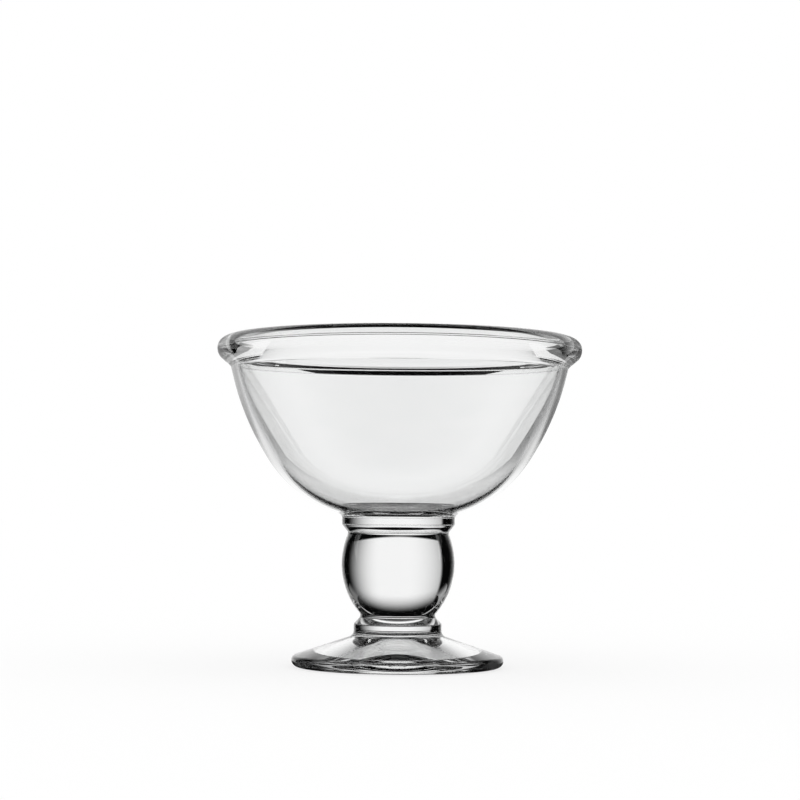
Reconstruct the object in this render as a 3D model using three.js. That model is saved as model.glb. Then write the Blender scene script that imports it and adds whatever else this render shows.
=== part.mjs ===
// Footed ice cream glass in clear glass, in millimetres with +Z up.
// The origin is on the table, at the centre of the foot.
// Each formed section is a turned solid, and the sections meet at level weld planes.
import * as THREE from 'three';

// Foot
const FOOT_DIAMETER = 69.4;
const FOOT_SLOPE = 18.5; // degrees, of the cone that falls from the collar to the edge
const FOOT_EDGE_HEIGHT = 2.15; // from the table to the widest ring
const FOOT_EDGE_TUCK = 2.2; // from the widest ring in to the bearing ring
const FOOT_EDGE_ROUND = 1.7; // above the widest ring
const FOOT_COVE = 2.3; // where the cone turns up into the collar
const HOLLOW_MOUTH_DIAMETER = 52; // of the hollow under the foot, at the table
const HOLLOW_CROWN_DIAMETER = 8; // of its level top
const HOLLOW_ROUND = 2; // where its wall meets the bearing ring and the crown

// Stem: a ball between two collars
const BALL_DIAMETER = 37.1;
const BALL_PROFILE_RADIUS = 24.8;
const NECK_COVE = 1; // where a neck turns into the ball or a chamfer
const LOWER_NECK_DEPTH = 6.25; // from the ball's widest ring in to the neck below it
const LOWER_NECK_HEIGHT = 0.55;
const LOWER_COLLAR_STEP = 2.1; // from the lower neck out to the collar's band
const LOWER_COLLAR_CHAMFER = 2.3;
const LOWER_COLLAR_BAND = 2.1;
const LOWER_COLLAR_ROUND = 0.7; // between the band and the chamfer
const UPPER_NECK_DEPTH = 1.95;
const UPPER_NECK_HEIGHT = 0.4;
const UPPER_COLLAR_STEP = 1.95;
const UPPER_COLLAR_CHAMFER = 2.5;
const UPPER_COLLAR_BAND = 2.1;
const UPPER_COLLAR_ROUND = 1.1;

// Bowl
const BOWL_HEIGHT = 48.8; // from the collar to the rolled rim
const BOWL_BASE_WALL = 2.4;
const BOWL_MOUTH_WALL = 1.8;
const BOWL_COVE = 1.4; // where the underside meets the collar
const BOWL_FLOOR_RADIUS = 7.2; // of the level floor inside
const BOWL_BASE_RADIUS = 42.4; // of the round between the floor and the side
const BOWL_SIDE_LEAN = 33.4; // degrees from upright, where the side starts
const BOWL_MOUTH_LEAN = 12; // degrees from upright, where the side ends

// Rolled rim
const RIM_DIAMETER = 120;
const LIP_OVERHANG = 4.6; // from the bowl's outside to the widest ring
const LIP_COVE = 1.5;
const LIP_FLANK = 42; // degrees above level
const LIP_ROUND = 4.2; // below the widest ring
const LIP_CROWN = 4.2; // height above the widest ring
const LIP_INNER_LEAN = -3; // degrees from upright, where the inside ends, turned in a little
const LIP_INNER_ROUND = 1.3;

// Fineness of the facets
const TURN_STEPS = 64;
const CHORD_ERROR = 0.06; // of an arc's facets
const SIDE_STEPS = 8;

const rad = THREE.MathUtils.degToRad;
const point = (r, z) => new THREE.Vector2(r, z);
const corner = (r, z, round = 0) => ({ at: point(r, z), round });
const along = (angle, length) => point(length * Math.cos(angle), length * Math.sin(angle));

// Radii that neighbouring sections share.
const footRadius = FOOT_DIAMETER / 2;
const ballRadius = BALL_DIAMETER / 2;
const lowerNeckRadius = ballRadius - LOWER_NECK_DEPTH;
const lowerCollarRadius = lowerNeckRadius + LOWER_COLLAR_STEP;
const upperNeckRadius = ballRadius - UPPER_NECK_DEPTH;
const upperCollarRadius = upperNeckRadius + UPPER_COLLAR_STEP;
const rimRadius = RIM_DIAMETER / 2;
const mouthRadius = rimRadius - LIP_OVERHANG;

// The wall is measured square to its face, so it is a little wider along the level weld plane.
const mouthInnerRadius = mouthRadius - BOWL_MOUTH_WALL / Math.cos(rad(BOWL_MOUTH_LEAN));

// Part of an ellipse between two angles in radians, turning the short way from one to the other.
function ellipse(centre, radiusR, radiusZ, from, to) {
  const step = 2 * Math.acos(1 - CHORD_ERROR / Math.max(radiusR, radiusZ, CHORD_ERROR));
  const count = Math.max(2, Math.ceil(Math.abs(to - from) / step));
  return new THREE.EllipseCurve(centre.x, centre.y, radiusR, radiusZ, from, to, to < from).getPoints(count);
}

function arc(centre, radius, from, to) {
  return ellipse(centre, radius, radius, from, to);
}

// A smooth side between two points, leaving and arriving at the given leans from upright.
function side(start, startLean, end, endLean) {
  const reach = start.distanceTo(end) / 3;
  const leave = start.clone().add(along(Math.PI / 2 - startLean, reach));
  const arrive = end.clone().sub(along(Math.PI / 2 - endLean, reach));
  return new THREE.CubicBezierCurve(start, leave, arrive, end).getPoints(SIDE_STEPS);
}

// An outline through corners that are each rounded off by their own radius, or left sharp at zero.
function rounded(corners) {
  const points = [corners[0].at];
  for (let i = 1; i < corners.length - 1; i += 1) {
    const { at, round } = corners[i];
    const back = corners[i - 1].at.clone().sub(at).normalize();
    const ahead = corners[i + 1].at.clone().sub(at).normalize();
    const half = Math.acos(back.dot(ahead)) / 2;
    const centre = back.clone().add(ahead).setLength(round / Math.sin(half)).add(at);
    const first = back.clone().multiplyScalar(round / Math.tan(half)).add(at).sub(centre).angle();
    const last = ahead.clone().multiplyScalar(round / Math.tan(half)).add(at).sub(centre).angle();
    const turn = THREE.MathUtils.euclideanModulo(last - first + Math.PI, 2 * Math.PI) - Math.PI;
    points.push(...(round > 0 ? arc(centre, round, first, first + turn) : [at]));
  }
  return [...points, corners.at(-1).at];
}

// Foot, from the crown of its hollow out over the bearing ring to the edge and up the cone to the collar.
// The hollow's wall runs parallel with the cone above it.
function foot() {
  const slope = rad(FOOT_SLOPE);
  const bearingOuter = footRadius - FOOT_EDGE_TUCK;
  const hollowDepth = (HOLLOW_MOUTH_DIAMETER - HOLLOW_CROWN_DIAMETER) / 2 * Math.tan(slope);
  const underside = rounded([
    corner(0, hollowDepth),
    corner(HOLLOW_CROWN_DIAMETER / 2, hollowDepth, HOLLOW_ROUND),
    corner(HOLLOW_MOUTH_DIAMETER / 2, 0, HOLLOW_ROUND),
    corner(bearingOuter, 0),
  ]);
  const tuck = ellipse(
    point(bearingOuter, FOOT_EDGE_HEIGHT), FOOT_EDGE_TUCK, FOOT_EDGE_HEIGHT, -Math.PI / 2, 0);
  const edge = arc(
    point(footRadius - FOOT_EDGE_ROUND, FOOT_EDGE_HEIGHT), FOOT_EDGE_ROUND, 0, Math.PI / 2 - slope);
  const coneFoot = edge.at(-1);
  const coneTopRadius = lowerCollarRadius + FOOT_COVE * (1 - Math.sin(slope));
  const coneTop = coneFoot.y + (coneFoot.x - coneTopRadius) * Math.tan(slope);
  const height = coneTop + FOOT_COVE * Math.cos(slope);
  const coveCentre = point(lowerCollarRadius + FOOT_COVE, height);
  const cove = arc(coveCentre, FOOT_COVE, 1.5 * Math.PI - slope, Math.PI);
  return { height, profile: [...underside, ...tuck.slice(1), ...edge.slice(1), ...cove, point(0, height)] };
}

// Lower collar: a plain band with a chamfer up to the neck.
function lowerCollar() {
  const chamferTop = LOWER_COLLAR_BAND + LOWER_COLLAR_CHAMFER;
  const height = chamferTop + LOWER_NECK_HEIGHT;
  const profile = rounded([
    corner(0, 0),
    corner(lowerCollarRadius, 0),
    corner(lowerCollarRadius, LOWER_COLLAR_BAND, LOWER_COLLAR_ROUND),
    corner(lowerNeckRadius, chamferTop, NECK_COVE),
    corner(lowerNeckRadius, height),
    corner(0, height),
  ]);
  return { height, profile };
}

// Ball knop: one round profile, widest nearer its top, that coves into the neck at each end.
function ballKnop() {
  const roundRadius = ballRadius - BALL_PROFILE_RADIUS; // of the profile's centre, past the axis
  const coveReach = BALL_PROFILE_RADIUS + NECK_COVE;
  const lowerOut = lowerNeckRadius + NECK_COVE - roundRadius;
  const upperOut = upperNeckRadius + NECK_COVE - roundRadius;
  const belowWidest = Math.sqrt(coveReach ** 2 - lowerOut ** 2);
  const aboveWidest = Math.sqrt(coveReach ** 2 - upperOut ** 2);
  const height = belowWidest + aboveWidest;
  const lowest = -Math.atan2(belowWidest, lowerOut);
  const highest = Math.atan2(aboveWidest, upperOut);
  const lowerCove = arc(point(lowerNeckRadius + NECK_COVE, 0), NECK_COVE, Math.PI, Math.PI + lowest);
  const ball = arc(point(roundRadius, belowWidest), BALL_PROFILE_RADIUS, lowest, highest);
  const upperCove = arc(
    point(upperNeckRadius + NECK_COVE, height), NECK_COVE, Math.PI + highest, Math.PI);
  const skin = [...lowerCove, ...ball.slice(1), ...upperCove.slice(1)];
  return { height, profile: [point(0, 0), ...skin, point(0, height)] };
}

// Upper collar: a short neck, a chamfer and a plain band under the bowl.
function upperCollar() {
  const bandFoot = UPPER_NECK_HEIGHT + UPPER_COLLAR_CHAMFER;
  const height = bandFoot + UPPER_COLLAR_BAND;
  const profile = rounded([
    corner(0, 0),
    corner(upperNeckRadius, 0),
    corner(upperNeckRadius, UPPER_NECK_HEIGHT, NECK_COVE),
    corner(upperCollarRadius, bandFoot, UPPER_COLLAR_ROUND),
    corner(upperCollarRadius, height),
    corner(0, height),
  ]);
  return { height, profile };
}

// Bowl: a wall that thins towards the mouth, out from the collar, up the side and back down the inside.
function bowl() {
  const sideLean = rad(BOWL_SIDE_LEAN);
  const mouthLean = rad(BOWL_MOUTH_LEAN);
  const coveCentre = point(upperCollarRadius + BOWL_COVE, 0);
  const coveReach = BOWL_BASE_RADIUS + BOWL_COVE;
  const baseRise = Math.sqrt(coveReach ** 2 - (coveCentre.x - BOWL_FLOOR_RADIUS) ** 2);
  const baseCentre = point(BOWL_FLOOR_RADIUS, baseRise);
  const coveTurn = baseCentre.clone().sub(coveCentre).angle();
  const cove = arc(coveCentre, BOWL_COVE, Math.PI, coveTurn);
  const base = arc(baseCentre, BOWL_BASE_RADIUS, coveTurn - Math.PI, -sideLean);
  const outside = side(base.at(-1), sideLean, point(mouthRadius, BOWL_HEIGHT), mouthLean);
  const innerBase = arc(baseCentre, BOWL_BASE_RADIUS - BOWL_BASE_WALL, -Math.PI / 2, -sideLean);
  const inside = side(innerBase.at(-1), sideLean, point(mouthInnerRadius, BOWL_HEIGHT), mouthLean);
  const up = [point(0, 0), ...cove, ...base.slice(1), ...outside.slice(1)];
  const down = [...innerBase, ...inside.slice(1)].reverse();
  const floor = point(0, innerBase[0].y);
  return { height: BOWL_HEIGHT, profile: [...up, ...down, floor] };
}

// Rolled rim: a bead that stands out from the bowl's wall and carries its inside on up to the crown.
function rolledRim() {
  const mouthLean = rad(BOWL_MOUTH_LEAN);
  const innerLean = rad(LIP_INNER_LEAN);
  const flank = rad(LIP_FLANK);
  const coveCentre = point(mouthRadius, 0).add(along(-mouthLean, LIP_COVE));
  const cove = arc(coveCentre, LIP_COVE, Math.PI - mouthLean, Math.PI / 2 + flank);
  const flankFoot = cove.at(-1);
  const flankTopRadius = rimRadius - LIP_ROUND * (1 - Math.sin(flank));
  const flankTop = flankFoot.y + (flankTopRadius - flankFoot.x) * Math.tan(flank);
  const widest = flankTop + LIP_ROUND * Math.cos(flank);
  const height = widest + LIP_CROWN;
  const under = arc(point(rimRadius - LIP_ROUND, widest), LIP_ROUND, flank - Math.PI / 2, 0);
  const innerTop = height - LIP_INNER_ROUND * (1 - Math.sin(innerLean));
  const innerTopRadius = mouthInnerRadius + innerTop * Math.tan((mouthLean + innerLean) / 2);
  const crownCentre = point(innerTopRadius, innerTop).add(along(-innerLean, LIP_INNER_ROUND));
  const crown = ellipse(point(crownCentre.x, widest), rimRadius - crownCentre.x, LIP_CROWN, 0, Math.PI / 2);
  const innerRound = arc(crownCentre, LIP_INNER_ROUND, Math.PI / 2, Math.PI - innerLean);
  const inside = side(point(mouthInnerRadius, 0), mouthLean, innerRound.at(-1), innerLean).reverse();
  const over = [...crown.slice(1), ...innerRound.slice(1)];
  return { height, profile: [...cove, ...under, ...over, ...inside.slice(1), cove[0].clone()] };
}

function clearGlass() {
  return new THREE.MeshStandardMaterial({
    color: 0xf4f7f7, roughness: 0.02, metalness: 0, transparent: true, opacity: 0.35,
  });
}

// Turn each section about the glass's axis and stand it on the one below.
const sections = {
  foot: foot(),
  lower_collar: lowerCollar(),
  ball_knop: ballKnop(),
  upper_collar: upperCollar(),
  bowl: bowl(),
  rolled_rim: rolledRim(),
};

const glass = new THREE.Group();
glass.name = 'ice_cream_glass';
let seat = 0;
for (const [name, section] of Object.entries(sections)) {
  const geometry = new THREE.LatheGeometry(section.profile, TURN_STEPS);
  geometry.rotateX(Math.PI / 2);
  const mesh = new THREE.Mesh(geometry, clearGlass());
  mesh.name = name;
  mesh.position.z = seat;
  glass.add(mesh);
  seat += section.height;
}

export default glass;
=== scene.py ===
"""Footed ice cream glass in clear glass: the finish of its six turned sections.

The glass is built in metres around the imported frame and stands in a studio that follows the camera.
"""
from math import acos, atan2, ceil, cos, pi, radians, sin, sqrt, tan

import bmesh
import bpy
from mathutils import Matrix, Vector


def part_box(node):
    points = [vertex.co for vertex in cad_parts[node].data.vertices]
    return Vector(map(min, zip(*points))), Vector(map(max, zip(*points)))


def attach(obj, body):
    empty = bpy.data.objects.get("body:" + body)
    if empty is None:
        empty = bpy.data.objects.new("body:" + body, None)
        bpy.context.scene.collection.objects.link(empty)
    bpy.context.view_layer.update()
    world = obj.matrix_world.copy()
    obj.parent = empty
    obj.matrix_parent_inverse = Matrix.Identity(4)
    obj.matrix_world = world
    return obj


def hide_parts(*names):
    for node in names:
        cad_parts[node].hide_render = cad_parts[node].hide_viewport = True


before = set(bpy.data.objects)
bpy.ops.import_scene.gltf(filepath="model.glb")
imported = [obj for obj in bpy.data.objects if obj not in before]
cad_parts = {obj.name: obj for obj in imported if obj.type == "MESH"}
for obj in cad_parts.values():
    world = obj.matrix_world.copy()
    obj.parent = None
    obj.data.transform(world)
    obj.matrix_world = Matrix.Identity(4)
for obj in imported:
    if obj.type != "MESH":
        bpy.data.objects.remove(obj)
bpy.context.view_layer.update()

MM = 0.001

# Sizes of the glass that the frame's boxes give, in millimetres
SECTIONS = ("foot", "lower_collar", "ball_knop", "upper_collar", "bowl", "rolled_rim")
SEAT = {name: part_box(name)[0].z / MM for name in SECTIONS}
RADIUS = {name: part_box(name)[1].x / MM for name in SECTIONS}

# Foot
FOOT_SLOPE = radians(18.5)
FOOT_EDGE_HEIGHT = 2.15
FOOT_EDGE_TUCK = 2.2
FOOT_EDGE_ROUND = 1.7
FOOT_COVE = 2.3
HOLLOW_MOUTH_RADIUS = 26.0
HOLLOW_CROWN_RADIUS = 4.0
HOLLOW_ROUND = 2.0

# Stem
BALL_PROFILE_RADIUS = 24.8
NECK_COVE = 1.0
LOWER_NECK_DEPTH = 6.25
LOWER_NECK_HEIGHT = 0.55
LOWER_COLLAR_STEP = 2.1
LOWER_COLLAR_CHAMFER = 2.3
LOWER_COLLAR_BAND = 2.1
LOWER_COLLAR_ROUND = 0.7
UPPER_NECK_DEPTH = 1.95
UPPER_NECK_HEIGHT = 0.4
UPPER_COLLAR_STEP = 1.95
UPPER_COLLAR_CHAMFER = 2.5
UPPER_COLLAR_BAND = 2.1
UPPER_COLLAR_ROUND = 1.1

# Bowl
BOWL_HEIGHT = 48.8
BOWL_BASE_WALL = 2.4
BOWL_MOUTH_WALL = 1.8
BOWL_COVE = 1.4
BOWL_FLOOR_RADIUS = 7.2
BOWL_BASE_RADIUS = 42.4
BOWL_SIDE_LEAN = radians(33.4)
BOWL_MOUTH_LEAN = radians(12)

# Rolled rim
LIP_OVERHANG = 4.6
LIP_COVE = 1.5
LIP_FLANK = radians(42)
LIP_ROUND = 4.2
LIP_CROWN = 4.2
LIP_INNER_LEAN = radians(-3)
LIP_INNER_ROUND = 1.3

# Fineness of the turned surfaces
TURN_STEPS = 192
OUTLINE_STEP = 0.5
TIGHT_STEP = 0.15
SHARP_ANGLE = radians(40)

# Faces welded to the next section: level, and within reach of the weld's height in metres
WELD_REACH = 2e-6
LEVEL_FACE = 0.999
NO_WELD = -1.0

BALL_RADIUS = RADIUS["ball_knop"]
LOWER_NECK_RADIUS = BALL_RADIUS - LOWER_NECK_DEPTH
UPPER_NECK_RADIUS = BALL_RADIUS - UPPER_NECK_DEPTH
LOWER_COLLAR_RADIUS = LOWER_NECK_RADIUS + LOWER_COLLAR_STEP
UPPER_COLLAR_RADIUS = UPPER_NECK_RADIUS + UPPER_COLLAR_STEP
RIM_RADIUS = RADIUS["rolled_rim"]
MOUTH_RADIUS = RIM_RADIUS - LIP_OVERHANG
MOUTH_INNER_RADIUS = MOUTH_RADIUS - BOWL_MOUTH_WALL / cos(BOWL_MOUTH_LEAN)


def ellipse(centre, reach, rise, start, end, step=OUTLINE_STEP):
    """Points (radius, height) along part of an ellipse, between two angles."""
    count = max(4, ceil(abs(end - start) * max(reach, rise) / step))
    turns = [start + (end - start) * i / count for i in range(count + 1)]
    return [(centre[0] + reach * cos(t), centre[1] + rise * sin(t)) for t in turns]


def arc(centre, radius, start, end, step=OUTLINE_STEP):
    return ellipse(centre, radius, radius, start, end, step)


def line(start, end, step=OUTLINE_STEP):
    """Points along a straight stretch, without its two ends."""
    count = max(1, ceil(sqrt((end[0] - start[0]) ** 2 + (end[1] - start[1]) ** 2) / step))
    return [tuple(a + (b - a) * i / count for a, b in zip(start, end)) for i in range(1, count)]


def side(start, start_lean, end, end_lean, step=OUTLINE_STEP):
    """A smooth side that leaves and arrives at the given leans from upright."""
    span = sqrt((end[0] - start[0]) ** 2 + (end[1] - start[1]) ** 2)
    leave = (start[0] + span / 3 * sin(start_lean), start[1] + span / 3 * cos(start_lean))
    arrive = (end[0] - span / 3 * sin(end_lean), end[1] - span / 3 * cos(end_lean))
    count = ceil(span / step)
    points = []
    for i in range(count + 1):
        t = i / count
        weights = ((1 - t) ** 3, 3 * t * (1 - t) ** 2, 3 * t * t * (1 - t), t ** 3)
        held = (start, leave, arrive, end)
        points.append(tuple(sum(w * p[axis] for w, p in zip(weights, held)) for axis in (0, 1)))
    return points


def rounded(corners):
    """An outline through corners (radius, height, round), with each corner rounded off."""
    points = [corners[0][:2]]
    for before, here, after in zip(corners, corners[1:], corners[2:]):
        corner = Vector(here[:2])
        back = (Vector(before[:2]) - corner).normalized()
        ahead = (Vector(after[:2]) - corner).normalized()
        if here[2] == 0:
            points.append(here[:2])
            continue
        half = acos(back.dot(ahead)) / 2
        first = corner + back * here[2] / tan(half)
        last = corner + ahead * here[2] / tan(half)
        centre = corner + (back + ahead).normalized() * here[2] / sin(half)
        start = atan2(first.y - centre.y, first.x - centre.x)
        turn = (atan2(last.y - centre.y, last.x - centre.x) - start + pi) % (2 * pi) - pi
        points += arc(centre, here[2], start, start + turn, TIGHT_STEP)
    return points + [corners[-1][:2]]


def foot_outline():
    bearing_outer = RADIUS["foot"] - FOOT_EDGE_TUCK
    hollow_depth = (HOLLOW_MOUTH_RADIUS - HOLLOW_CROWN_RADIUS) * tan(FOOT_SLOPE)
    underside = rounded([
        (0, hollow_depth, 0),
        (HOLLOW_CROWN_RADIUS, hollow_depth, HOLLOW_ROUND),
        (HOLLOW_MOUTH_RADIUS, 0, HOLLOW_ROUND),
        (bearing_outer, 0, 0),
    ])
    tuck_centre = (bearing_outer, FOOT_EDGE_HEIGHT)
    tuck = ellipse(tuck_centre, FOOT_EDGE_TUCK, FOOT_EDGE_HEIGHT, -pi / 2, 0, TIGHT_STEP)
    edge_centre = (RADIUS["foot"] - FOOT_EDGE_ROUND, FOOT_EDGE_HEIGHT)
    edge = arc(edge_centre, FOOT_EDGE_ROUND, 0, pi / 2 - FOOT_SLOPE, TIGHT_STEP)
    cone_top_radius = LOWER_COLLAR_RADIUS + FOOT_COVE * (1 - sin(FOOT_SLOPE))
    cone_top = edge[-1][1] + (edge[-1][0] - cone_top_radius) * tan(FOOT_SLOPE)
    height = cone_top + FOOT_COVE * cos(FOOT_SLOPE)
    cove_centre = (LOWER_COLLAR_RADIUS + FOOT_COVE, height)
    cove = arc(cove_centre, FOOT_COVE, 1.5 * pi - FOOT_SLOPE, pi, TIGHT_STEP)
    cone = line(edge[-1], cove[0])
    return underside + tuck[1:] + edge[1:] + cone + cove + [(0, height)]


def lower_collar_outline():
    chamfer_top = LOWER_COLLAR_BAND + LOWER_COLLAR_CHAMFER
    height = chamfer_top + LOWER_NECK_HEIGHT
    return rounded([
        (0, 0, 0),
        (LOWER_COLLAR_RADIUS, 0, 0),
        (LOWER_COLLAR_RADIUS, LOWER_COLLAR_BAND, LOWER_COLLAR_ROUND),
        (LOWER_NECK_RADIUS, chamfer_top, NECK_COVE),
        (LOWER_NECK_RADIUS, height, 0),
        (0, height, 0),
    ])


def ball_knop_outline():
    centre_radius = BALL_RADIUS - BALL_PROFILE_RADIUS
    reach = BALL_PROFILE_RADIUS + NECK_COVE
    lower_out = LOWER_NECK_RADIUS + NECK_COVE - centre_radius
    upper_out = UPPER_NECK_RADIUS + NECK_COVE - centre_radius
    below = sqrt(reach ** 2 - lower_out ** 2)
    above = sqrt(reach ** 2 - upper_out ** 2)
    height = below + above
    lowest = atan2(-below, lower_out)
    highest = atan2(above, upper_out)
    lower_cove = arc((LOWER_NECK_RADIUS + NECK_COVE, 0), NECK_COVE, pi, lowest + pi, TIGHT_STEP)
    ball = arc((centre_radius, below), BALL_PROFILE_RADIUS, lowest, highest)
    upper_cove = arc((UPPER_NECK_RADIUS + NECK_COVE, height), NECK_COVE, highest + pi, pi, TIGHT_STEP)
    return [(0, 0)] + lower_cove + ball[1:] + upper_cove[1:] + [(0, height)]


def upper_collar_outline():
    band_foot = UPPER_NECK_HEIGHT + UPPER_COLLAR_CHAMFER
    height = band_foot + UPPER_COLLAR_BAND
    return rounded([
        (0, 0, 0),
        (UPPER_NECK_RADIUS, 0, 0),
        (UPPER_NECK_RADIUS, UPPER_NECK_HEIGHT, NECK_COVE),
        (UPPER_COLLAR_RADIUS, band_foot, UPPER_COLLAR_ROUND),
        (UPPER_COLLAR_RADIUS, height, 0),
        (0, height, 0),
    ])


def bowl_outline():
    cove_centre = (UPPER_COLLAR_RADIUS + BOWL_COVE, 0)
    base_rise = sqrt((BOWL_BASE_RADIUS + BOWL_COVE) ** 2 - (cove_centre[0] - BOWL_FLOOR_RADIUS) ** 2)
    base_centre = (BOWL_FLOOR_RADIUS, base_rise)
    cove_turn = atan2(base_rise, BOWL_FLOOR_RADIUS - cove_centre[0])
    cove = arc(cove_centre, BOWL_COVE, pi, cove_turn, TIGHT_STEP)
    base = arc(base_centre, BOWL_BASE_RADIUS, cove_turn - pi, -BOWL_SIDE_LEAN)
    outside = side(base[-1], BOWL_SIDE_LEAN, (MOUTH_RADIUS, BOWL_HEIGHT), BOWL_MOUTH_LEAN)
    inner_base = arc(base_centre, BOWL_BASE_RADIUS - BOWL_BASE_WALL, -pi / 2, -BOWL_SIDE_LEAN)
    inside = side(inner_base[-1], BOWL_SIDE_LEAN, (MOUTH_INNER_RADIUS, BOWL_HEIGHT), BOWL_MOUTH_LEAN)
    down = (inner_base + inside[1:])[::-1]
    floor = line(inner_base[0], (0, inner_base[0][1])) + [(0, inner_base[0][1])]
    return [(0, 0)] + cove + base[1:] + outside[1:] + down + floor


def rolled_rim_outline():
    cove_centre = (MOUTH_RADIUS + LIP_COVE * cos(BOWL_MOUTH_LEAN), -LIP_COVE * sin(BOWL_MOUTH_LEAN))
    cove = arc(cove_centre, LIP_COVE, pi - BOWL_MOUTH_LEAN, pi / 2 + LIP_FLANK, TIGHT_STEP)
    flank_top_radius = RIM_RADIUS - LIP_ROUND * (1 - sin(LIP_FLANK))
    flank_top = cove[-1][1] + (flank_top_radius - cove[-1][0]) * tan(LIP_FLANK)
    widest = flank_top + LIP_ROUND * cos(LIP_FLANK)
    height = widest + LIP_CROWN
    under = arc((RIM_RADIUS - LIP_ROUND, widest), LIP_ROUND, LIP_FLANK - pi / 2, 0, TIGHT_STEP)
    inner_top = height - LIP_INNER_ROUND * (1 - sin(LIP_INNER_LEAN))
    inner_top_radius = MOUTH_INNER_RADIUS + inner_top * tan((BOWL_MOUTH_LEAN + LIP_INNER_LEAN) / 2)
    crown_centre = (
        inner_top_radius + LIP_INNER_ROUND * cos(LIP_INNER_LEAN),
        inner_top - LIP_INNER_ROUND * sin(LIP_INNER_LEAN),
    )
    crown_reach = RIM_RADIUS - crown_centre[0]
    crown = ellipse((crown_centre[0], widest), crown_reach, LIP_CROWN, 0, pi / 2, TIGHT_STEP)
    inner_round = arc(crown_centre, LIP_INNER_ROUND, pi / 2, pi - LIP_INNER_LEAN, TIGHT_STEP)
    inside = side((MOUTH_INNER_RADIUS, 0), BOWL_MOUTH_LEAN, inner_round[-1], LIP_INNER_LEAN)[::-1]
    flank = line(cove[-1], under[0], TIGHT_STEP)
    return cove + flank + under + crown[1:] + inner_round[1:] + inside[1:] + [cove[0]]


def node(tree, kind, **settings):
    made = tree.nodes.new(kind)
    for name, value in settings.items():
        setattr(made, name, value)
    return made


def maths(tree, operation, *values):
    """A Math node's result, from sockets and plain numbers."""
    made = node(tree, "ShaderNodeMath", operation=operation)
    for place, value in zip(made.inputs, values):
        if isinstance(value, (int, float)):
            place.default_value = value
        else:
            tree.links.new(value, place)
    return made.outputs[0]


def turning_tree():
    """Turns the outline that the object's mesh holds about Z, and closes its seam and poles."""
    tree = bpy.data.node_groups.new("turned_section", "GeometryNodeTree")
    kinds = {
        "Outline": "Geometry",
        "Steps around": "Int",
        "Lower weld": "Float",
        "Upper weld": "Float",
        "Sharp angle": "Float",
        "Glass": "Material",
        "Weld": "Material",
    }
    for label, kind in kinds.items():
        tree.interface.new_socket(label, in_out="INPUT", socket_type="NodeSocket" + kind)
    tree.interface.new_socket("Section", in_out="OUTPUT", socket_type="NodeSocketGeometry")
    given = node(tree, "NodeGroupInput").outputs
    link = tree.links.new

    count = node(tree, "GeometryNodeAttributeDomainSize", component="MESH")
    link(given["Outline"], count.inputs[0])
    points = count.outputs["Point Count"]
    grid = node(tree, "GeometryNodeMeshGrid")
    link(maths(tree, "ADD", given["Steps around"], 1), grid.inputs["Vertices X"])
    link(points, grid.inputs["Vertices Y"])

    # Half a point is added so that the division never falls short of a whole column
    index = node(tree, "GeometryNodeInputIndex").outputs[0]
    along = maths(tree, "MODULO", index, points)
    around = maths(tree, "FLOOR", maths(tree, "DIVIDE", maths(tree, "ADD", index, 0.5), points))
    angle = maths(tree, "DIVIDE", maths(tree, "MULTIPLY", around, 2 * pi), given["Steps around"])
    place = node(tree, "GeometryNodeInputPosition").outputs[0]
    sample = node(tree, "GeometryNodeSampleIndex", data_type="FLOAT_VECTOR", domain="POINT")
    link(given["Outline"], sample.inputs["Geometry"])
    link(place, sample.inputs["Value"])
    link(along, sample.inputs["Index"])
    split = node(tree, "ShaderNodeSeparateXYZ")
    link(sample.outputs[0], split.inputs[0])
    turned = node(tree, "ShaderNodeCombineXYZ")
    link(maths(tree, "MULTIPLY", split.outputs["X"], maths(tree, "COSINE", angle)), turned.inputs["X"])
    link(maths(tree, "MULTIPLY", split.outputs["X"], maths(tree, "SINE", angle)), turned.inputs["Y"])
    link(split.outputs["Z"], turned.inputs["Z"])
    shaped = node(tree, "GeometryNodeSetPosition")
    link(grid.outputs["Mesh"], shaped.inputs["Geometry"])
    link(turned.outputs[0], shaped.inputs["Position"])
    closed = node(tree, "GeometryNodeMergeByDistance")
    closed.inputs["Distance"].default_value = WELD_REACH
    link(shaped.outputs[0], closed.inputs["Geometry"])

    smooth = node(tree, "GeometryNodeSetShadeSmooth", domain="FACE")
    link(closed.outputs[0], smooth.inputs["Geometry"])
    edge_angle = node(tree, "GeometryNodeInputMeshEdgeAngle").outputs["Unsigned Angle"]
    sharp = node(tree, "GeometryNodeSetShadeSmooth", domain="EDGE")
    sharp.inputs["Shade Smooth"].default_value = False
    link(smooth.outputs[0], sharp.inputs["Geometry"])
    link(maths(tree, "GREATER_THAN", edge_angle, given["Sharp angle"]), sharp.inputs["Selection"])

    height = node(tree, "ShaderNodeSeparateXYZ")
    link(place, height.inputs[0])
    facing = node(tree, "ShaderNodeSeparateXYZ")
    link(node(tree, "GeometryNodeInputNormal").outputs[0], facing.inputs[0])
    level = maths(tree, "GREATER_THAN", maths(tree, "ABSOLUTE", facing.outputs["Z"]), LEVEL_FACE)
    at_lower = maths(tree, "COMPARE", height.outputs["Z"], given["Lower weld"], WELD_REACH)
    at_upper = maths(tree, "COMPARE", height.outputs["Z"], given["Upper weld"], WELD_REACH)
    weld_face = maths(tree, "MULTIPLY", level, maths(tree, "MAXIMUM", at_lower, at_upper))
    skin = node(tree, "GeometryNodeSetMaterial")
    link(sharp.outputs[0], skin.inputs["Geometry"])
    link(given["Glass"], skin.inputs["Material"])
    weld = node(tree, "GeometryNodeSetMaterial")
    link(skin.outputs[0], weld.inputs["Geometry"])
    link(weld_face, weld.inputs["Selection"])
    link(given["Weld"], weld.inputs["Material"])
    real = node(tree, "GeometryNodeRealizeInstances")
    link(weld.outputs[0], real.inputs[0])
    link(real.outputs[0], node(tree, "NodeGroupOutput").inputs[0])
    return tree


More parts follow.
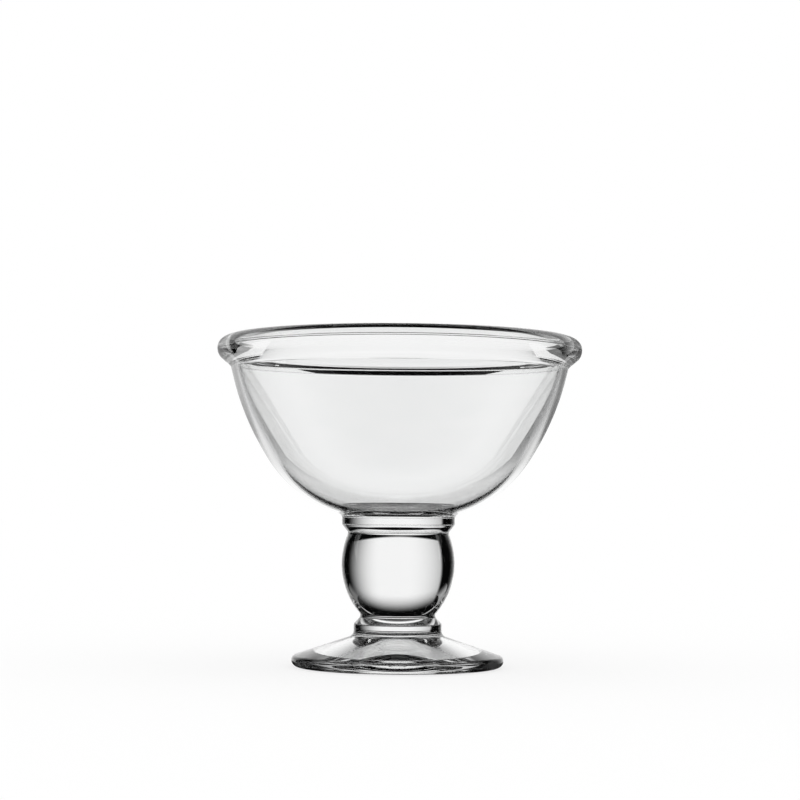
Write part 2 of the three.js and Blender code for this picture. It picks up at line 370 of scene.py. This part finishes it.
def turned_section(name, outline, tree, glass, weld, welded):
    """One section as a plain closed mesh, standing on its seat."""
    seat = SEAT[name]
    points = [(r * MM, 0, (z + seat) * MM) for r, z in outline]
    edges = [(i, i + 1) for i in range(len(points) - 1)]
    mesh = bpy.data.meshes.new(name)
    mesh.from_pydata(points, edges, [])
    piece = bpy.data.objects.new(name + "_glass", mesh)
    bpy.context.scene.collection.objects.link(piece)
    turn = piece.modifiers.new("turn", "NODES")
    turn.node_group = tree
    heights = [z for x, y, z in points]
    sizes = {
        "Steps around": TURN_STEPS,
        "Lower weld": min(heights) if "below" in welded else NO_WELD,
        "Upper weld": max(heights) if "above" in welded else NO_WELD,
        "Sharp angle": SHARP_ANGLE,
        "Glass": glass,
        "Weld": weld,
    }
    sockets = {item.name: item.identifier for item in tree.interface.items_tree}
    for label, value in sizes.items():
        turn[sockets[label]] = value
    graph = bpy.context.evaluated_depsgraph_get()
    solid = bpy.data.meshes.new_from_object(piece.evaluated_get(graph))
    piece.modifiers.remove(turn)
    piece.data = solid
    return piece


# Clear glass: cords are the faint streaks that hot glass keeps, drawn out around the piece
GLASS_IOR = 1.52
CORD_SCALE = (60, 60, 240)
CORD_DETAIL = 3
CORD_CLEAR = (1.0, 1.0, 1.0, 1)
CORD_TONE = (0.965, 0.972, 0.97, 1)
WAVE_SCALE = 45
WAVE_DETAIL = 1
WAVE_DEPTH = 0.00001


def clear_glass():
    """Fire-polished colourless glass with faint cords in its tone and soft waves on its skin."""
    material = bpy.data.materials.new("clear_glass")
    material.use_nodes = True
    tree = material.node_tree
    link = tree.links.new
    shader = tree.nodes["Principled BSDF"]
    shader.inputs["Roughness"].default_value = 0.0
    shader.inputs["IOR"].default_value = GLASS_IOR
    shader.inputs["Transmission Weight"].default_value = 1
    place = node(tree, "ShaderNodeTexCoord").outputs["Object"]

    stretch = node(tree, "ShaderNodeMapping")
    link(place, stretch.inputs["Vector"])
    stretch.inputs["Scale"].default_value = CORD_SCALE
    cords = node(tree, "ShaderNodeTexNoise")
    link(stretch.outputs[0], cords.inputs["Vector"])
    cords.inputs["Scale"].default_value = 1
    cords.inputs["Detail"].default_value = CORD_DETAIL
    tone = node(tree, "ShaderNodeMix", data_type="RGBA")
    link(cords.outputs["Fac"], tone.inputs["Factor"])
    colours = [socket for socket in tone.inputs if socket.type == "RGBA"]
    colours[0].default_value = CORD_CLEAR
    colours[1].default_value = CORD_TONE
    link(next(socket for socket in tone.outputs if socket.type == "RGBA"), shader.inputs["Base Color"])

    waves = node(tree, "ShaderNodeTexNoise")
    link(place, waves.inputs["Vector"])
    waves.inputs["Scale"].default_value = WAVE_SCALE
    waves.inputs["Detail"].default_value = WAVE_DETAIL
    bump = node(tree, "ShaderNodeBump")
    bump.inputs["Strength"].default_value = 1
    bump.inputs["Distance"].default_value = WAVE_DEPTH
    link(waves.outputs["Fac"], bump.inputs["Height"])
    link(bump.outputs[0], shader.inputs["Normal"])
    return material


def weld_glass():
    """The level faces where two sections are fused: light goes straight through."""
    material = bpy.data.materials.new("fused_weld")
    material.use_nodes = True
    shader = material.node_tree.nodes["Principled BSDF"]
    shader.inputs["Alpha"].default_value = 0
    return material


# Camera
CAMERA_DISTANCE = 0.6656
CAMERA_HEIGHT = 0.0536
CAMERA_LENS = 91.0
CAMERA_PITCH = radians(2.90)
CAMERA_YAW = radians(0.017)
CAMERA_ROLL = radians(0.45)


def photo_camera():
    data = bpy.data.cameras.new("camera")
    data.lens = CAMERA_LENS
    camera = bpy.data.objects.new("camera", data)
    bpy.context.scene.collection.objects.link(camera)
    camera.matrix_world = (
        Matrix.Translation((0, -CAMERA_DISTANCE, CAMERA_HEIGHT))
        @ Matrix.Rotation(-CAMERA_YAW, 4, "Z")
        @ Matrix.Rotation(pi / 2 + CAMERA_PITCH, 4, "X")
        @ Matrix.Rotation(CAMERA_ROLL, 4, "Z")
    )
    bpy.context.scene.camera = camera
    return camera


# The studio round the glass turns with the camera: X to the camera's right, Y up and Z towards it.
# Sizes are in metres, and heights are above the table. A fade's two places lie along one axis of the rig.
STUDIO_CENTRE = (0, 0, 0.05)
STUDIO_SEGMENTS = 64

# Dark tent with a bright window, whose edges each go from bright to dark between two angles.
# The angles are in degrees from the camera's axis, as seen from the glass.
TENT_RADIUS = 2.0
TENT_GREY = 0.002
WINDOW_LEFT = (36, 41)
WINDOW_LEFT_FADE = (6, 75)
WINDOW_RIGHT = (12, 52)
WINDOW_TOP = (12.6, 31.6)
WINDOW_BOTTOM = (20, 21.4)

# Grey cards close behind the bowl: strips along its outline, faded out at its base and wider at the rim
SIDE_DEPTH = 0.07
SIDE_GAP = 0.009
SIDE_STRIP = 0.035
SIDE_FLARE = 0.104
SIDE_TOP = 0.135
SIDE_OUTER = 0.3
SIDE_FADE = (-0.003, 0.015)
SIDE_GREY = {"left_card": 0.45, "right_card": 0.22}

# White card behind the rim, notched in the middle, and a white crescent over the rim's far side
BACK_DEPTH = 0.08
BACK_HALF_WIDTH = 1.9
BACK_BOTTOM = 0.108
BACK_TOP = 0.25
BACK_NOTCH_HALF_WIDTH = 0.1
BACK_NOTCH_BOTTOM = 0.18
CRESCENT_HEIGHT = 0.116
CRESCENT_RADII = (0.02, 0.058)
CRESCENT_TURN = radians(80)
CRESCENT_FADE = (-0.015, -0.045)
CRESCENT_STEPS = 24
CARD_WHITE = 1.0

# Painted shadow under the foot: a dark round disc on the table, met only by the glass's rays, with a soft
# edge
FOOT_SHADOW_RADIUS = 0.055
FOOT_SHADOW_DARK_RADIUS = 0.04
FOOT_SHADOW_DROP = 0.0006


def studio_rig(camera):
    """An empty at the glass that takes the camera's turn, so that every side is lit alike."""
    rig = bpy.data.objects.new("studio_rig", None)
    bpy.context.scene.collection.objects.link(rig)
    rig.location = STUDIO_CENTRE
    rig.constraints.new("COPY_ROTATION").target = camera
    return rig


def studio_sheet(name, rig, mesh, material):
    """A stage piece that only the glass's own rays meet."""
    sheet = bpy.data.objects.new(name, mesh)
    bpy.context.scene.collection.objects.link(sheet)
    sheet.parent = rig
    sheet.visible_camera = False
    sheet.visible_diffuse = False
    sheet.visible_shadow = False
    sheet.visible_volume_scatter = False
    mesh.materials.append(material)


def empty_material(name):
    material = bpy.data.materials.new(name)
    material.use_nodes = True
    material.node_tree.nodes.clear()
    return material, material.node_tree


def grey_glow(tree, grey):
    glow = node(tree, "ShaderNodeEmission")
    glow.inputs["Color"].default_value = (grey, grey, grey, 1)
    return glow


def smooth_ramp(tree, value, start, end, first=0, last=1):
    """A smooth change from first to last, while the value goes from start to end."""
    ramp = node(tree, "ShaderNodeMapRange", interpolation_type="SMOOTHSTEP")
    tree.links.new(value, ramp.inputs["Value"])
    ramp.inputs["From Min"].default_value = start
    ramp.inputs["From Max"].default_value = end
    ramp.inputs["To Min"].default_value = first
    ramp.inputs["To Max"].default_value = last
    return ramp.outputs[0]


def mixed(tree, factor, first, second):
    """Two shaders, mixed by a factor."""
    mix = node(tree, "ShaderNodeMixShader")
    tree.links.new(factor, mix.inputs["Fac"])
    tree.links.new(first.outputs[0], mix.inputs[1])
    tree.links.new(second.outputs[0], mix.inputs[2])
    return mix


def show(tree, shader):
    """Puts a shader on the material's surface."""
    tree.links.new(shader.outputs[0], node(tree, "ShaderNodeOutputMaterial").inputs["Surface"])


def dark_tent(rig):
    """A dark tent round the glass, open behind it."""
    material, tree = empty_material("dark_tent")
    toward = node(tree, "ShaderNodeVectorMath", operation="NORMALIZE")
    tree.links.new(node(tree, "ShaderNodeTexCoord").outputs["Object"], toward.inputs[0])
    split = node(tree, "ShaderNodeSeparateXYZ")
    tree.links.new(toward.outputs[0], split.inputs[0])
    right = maths(tree, "ARCTAN2", split.outputs["X"], maths(tree, "MULTIPLY", split.outputs["Z"], -1))
    left = maths(tree, "MULTIPLY", right, -1)
    up = maths(tree, "ARCSINE", split.outputs["Y"])
    down = maths(tree, "MULTIPLY", up, -1)

    def open_until(angle, bright, dark):
        return smooth_ramp(tree, angle, radians(bright), radians(dark), 1, 0)

    window = open_until(left, *WINDOW_LEFT)
    others = ((left, WINDOW_LEFT_FADE), (right, WINDOW_RIGHT), (up, WINDOW_TOP), (down, WINDOW_BOTTOM))
    for angle, edge in others:
        window = maths(tree, "MULTIPLY", window, open_until(angle, *edge))
    show(tree, mixed(tree, window, grey_glow(tree, TENT_GREY), node(tree, "ShaderNodeBsdfTransparent")))

    shell = bmesh.new()
    bmesh.ops.create_uvsphere(
        shell, u_segments=STUDIO_SEGMENTS, v_segments=STUDIO_SEGMENTS // 2, radius=TENT_RADIUS
    )
    mesh = bpy.data.meshes.new("dark_tent")
    shell.to_mesh(mesh)
    shell.free()
    studio_sheet("dark_tent", rig, mesh, material)


def card_material(name, grey, fade_axis=None, clear=None, full=None):
    """A card of one grey, which may fade in along one of the rig's axes, from clear to full."""
    material, tree = empty_material(name)
    shown = grey_glow(tree, grey)
    if fade_axis is not None:
        split = node(tree, "ShaderNodeSeparateXYZ")
        tree.links.new(node(tree, "ShaderNodeTexCoord").outputs["Object"], split.inputs[0])
        fade = smooth_ramp(tree, split.outputs[fade_axis], clear, full)
        shown = mixed(tree, fade, node(tree, "ShaderNodeBsdfTransparent"), shown)
    show(tree, shown)
    return material


def card(name, rig, corners, material):
    """A flat card with corners (across, height, towards the camera) at the glass."""
    mesh = bpy.data.meshes.new(name)
    points = [(x, z - STUDIO_CENTRE[2], near) for x, z, near in corners]
    mesh.from_pydata(points, [], [range(len(points))])
    studio_sheet(name, rig, mesh, material)


def side_cards(rig):
    """Grey cards that stand close behind the bowl and draw its two edges and the rim's ends."""
    spread = 1 + SIDE_DEPTH / CAMERA_DISTANCE
    edge = []
    for name, outline in (("bowl", bowl_outline()), ("rolled_rim", rolled_rim_outline())):
        crown = outline.index(max(outline, key=lambda point: point[1]))
        edge += [(r * MM * spread + SIDE_GAP, (z + SEAT[name]) * MM) for r, z in outline[1:crown]]
    strip = [(x + SIDE_STRIP, z) for x, z in edge if z < SIDE_FLARE][::-1]
    edge += [(edge[-1][0], SIDE_TOP), (SIDE_OUTER, SIDE_TOP), (SIDE_OUTER, SIDE_FLARE)] + strip
    for (name, grey), way in zip(SIDE_GREY.items(), (-1, 1)):
        corners = [(way * x, z, -SIDE_DEPTH) for x, z in edge]
        card(name, rig, corners, card_material(name, grey, "Y", *SIDE_FADE))


def rim_cards(rig):
    """White cards that lighten the near side of the rolled rim from behind and its far side from above."""
    half = [(BACK_HALF_WIDTH, BACK_BOTTOM), (BACK_HALF_WIDTH, BACK_TOP), (BACK_NOTCH_HALF_WIDTH, BACK_TOP)]
    outline = half + [(0, BACK_NOTCH_BOTTOM)] + [(-x, z) for x, z in half[::-1]]
    corners = [(x, z, -BACK_DEPTH) for x, z in outline]
    card("back_card", rig, corners, card_material("back_card", CARD_WHITE))
    inner, outer = CRESCENT_RADII
    turns = [CRESCENT_TURN * (2 * i / CRESCENT_STEPS - 1) for i in range(CRESCENT_STEPS + 1)]
    corners = [(outer * sin(t), CRESCENT_HEIGHT, -outer * cos(t)) for t in turns]
    corners += [(inner * sin(t), CRESCENT_HEIGHT, -inner * cos(t)) for t in turns[::-1]]
    card("crescent_card", rig, corners, card_material("crescent_card", CARD_WHITE, "Z", *CRESCENT_FADE))


def painted_foot_shadow(rig, camera):
    """A painted shadow under the foot: a dark disc that only the glass's rays meet, level on the table for
    the photograph's camera.
    """
    material, tree = empty_material("painted_foot_shadow")
    to_rig = (Matrix.Translation(STUDIO_CENTRE) @ camera.matrix_world.to_3x3().to_4x4()).inverted()
    out = node(tree, "ShaderNodeVectorMath", operation="DISTANCE")
    tree.links.new(node(tree, "ShaderNodeTexCoord").outputs["Object"], out.inputs[0])
    out.inputs[1].default_value = to_rig @ Vector((0, 0, -FOOT_SHADOW_DROP))
    # Painted shadow: the tent's dark grey in the middle, fading to clear towards the edge
    fade = smooth_ramp(tree, out.outputs["Value"], FOOT_SHADOW_DARK_RADIUS, FOOT_SHADOW_RADIUS)
    show(tree, mixed(tree, fade, grey_glow(tree, TENT_GREY), node(tree, "ShaderNodeBsdfTransparent")))

    disc = bmesh.new()
    bmesh.ops.create_circle(disc, cap_ends=True, segments=STUDIO_SEGMENTS, radius=FOOT_SHADOW_RADIUS)
    mesh = bpy.data.meshes.new("painted_foot_shadow")
    disc.to_mesh(mesh)
    disc.free()
    mesh.transform(to_rig @ Matrix.Translation((0, 0, -FOOT_SHADOW_DROP)))
    studio_sheet("painted_foot_shadow", rig, mesh, material)


# Floor, and the white that the camera and the glass see around it
FLOOR_SIDE = 8.0
FLOOR_DROP = 0.0002
FLOOR_WHITE = 1.0
FLOOR_GLOW = 0.75
STUDIO_LIGHT = 1.0
BACKDROP_WHITE = 1.0


def pale_floor():
    """A pale floor that the camera sees near white, with the glass's soft shadow on it."""
    bpy.ops.mesh.primitive_plane_add(size=FLOOR_SIDE, location=(0, 0, -FLOOR_DROP))
    floor = bpy.context.object
    floor.name = "pale_floor"
    floor.visible_glossy = False
    floor.visible_transmission = False
    material, tree = empty_material("pale_floor")
    matt = node(tree, "ShaderNodeBsdfDiffuse")
    matt.inputs["Color"].default_value = (FLOOR_WHITE, FLOOR_WHITE, FLOOR_WHITE, 1)
    seen = maths(tree, "MULTIPLY", node(tree, "ShaderNodeLightPath").outputs["Is Camera Ray"], FLOOR_GLOW)
    show(tree, mixed(tree, seen, matt, grey_glow(tree, BACKDROP_WHITE)))
    floor.data.materials.append(material)


def white_studio():
    """White for the camera and for what the glass shows, and soft light for everything else."""
    world = bpy.data.worlds.new("studio")
    bpy.context.scene.world = world
    world.use_nodes = True
    tree = world.node_tree
    tree.nodes.clear()
    ray = node(tree, "ShaderNodeLightPath").outputs
    seen = maths(tree, "MAXIMUM", ray["Is Camera Ray"], ray["Is Glossy Ray"])
    seen = maths(tree, "MAXIMUM", seen, ray["Is Transmission Ray"])

    def sky(strength):
        light = node(tree, "ShaderNodeBackground")
        light.inputs["Color"].default_value = (1, 1, 1, 1)
        light.inputs["Strength"].default_value = strength
        return light

    mix = mixed(tree, seen, sky(STUDIO_LIGHT), sky(BACKDROP_WHITE))
    tree.links.new(mix.outputs[0], node(tree, "ShaderNodeOutputWorld").inputs["Surface"])


# Most times that light may bend or turn in the glass, and pass clear sheets and welds
LIGHT_BOUNCES = 32
CLEAR_BOUNCES = 64

glass = clear_glass()
weld = weld_glass()
tree = turning_tree()
outlines = {
    "foot": (foot_outline(), ("above",)),
    "lower_collar": (lower_collar_outline(), ("below", "above")),
    "ball_knop": (ball_knop_outline(), ("below", "above")),
    "upper_collar": (upper_collar_outline(), ("below", "above")),
    "bowl": (bowl_outline(), ("below", "above")),
    "rolled_rim": (rolled_rim_outline(), ("below",)),
}
for name, (outline, welded) in outlines.items():
    piece = turned_section(name, outline, tree, glass, weld, welded)
    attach(piece, "root")
    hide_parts(name)

camera = photo_camera()
rig = studio_rig(camera)
dark_tent(rig)
side_cards(rig)
rim_cards(rig)
painted_foot_shadow(rig, camera)
pale_floor()
white_studio()
bpy.context.scene.view_settings.view_transform = "Standard"
cycles = bpy.context.scene.cycles
cycles.max_bounces = LIGHT_BOUNCES
cycles.transmission_bounces = LIGHT_BOUNCES
cycles.glossy_bounces = LIGHT_BOUNCES
cycles.transparent_max_bounces = CLEAR_BOUNCES

bpy.context.view_layer.update()
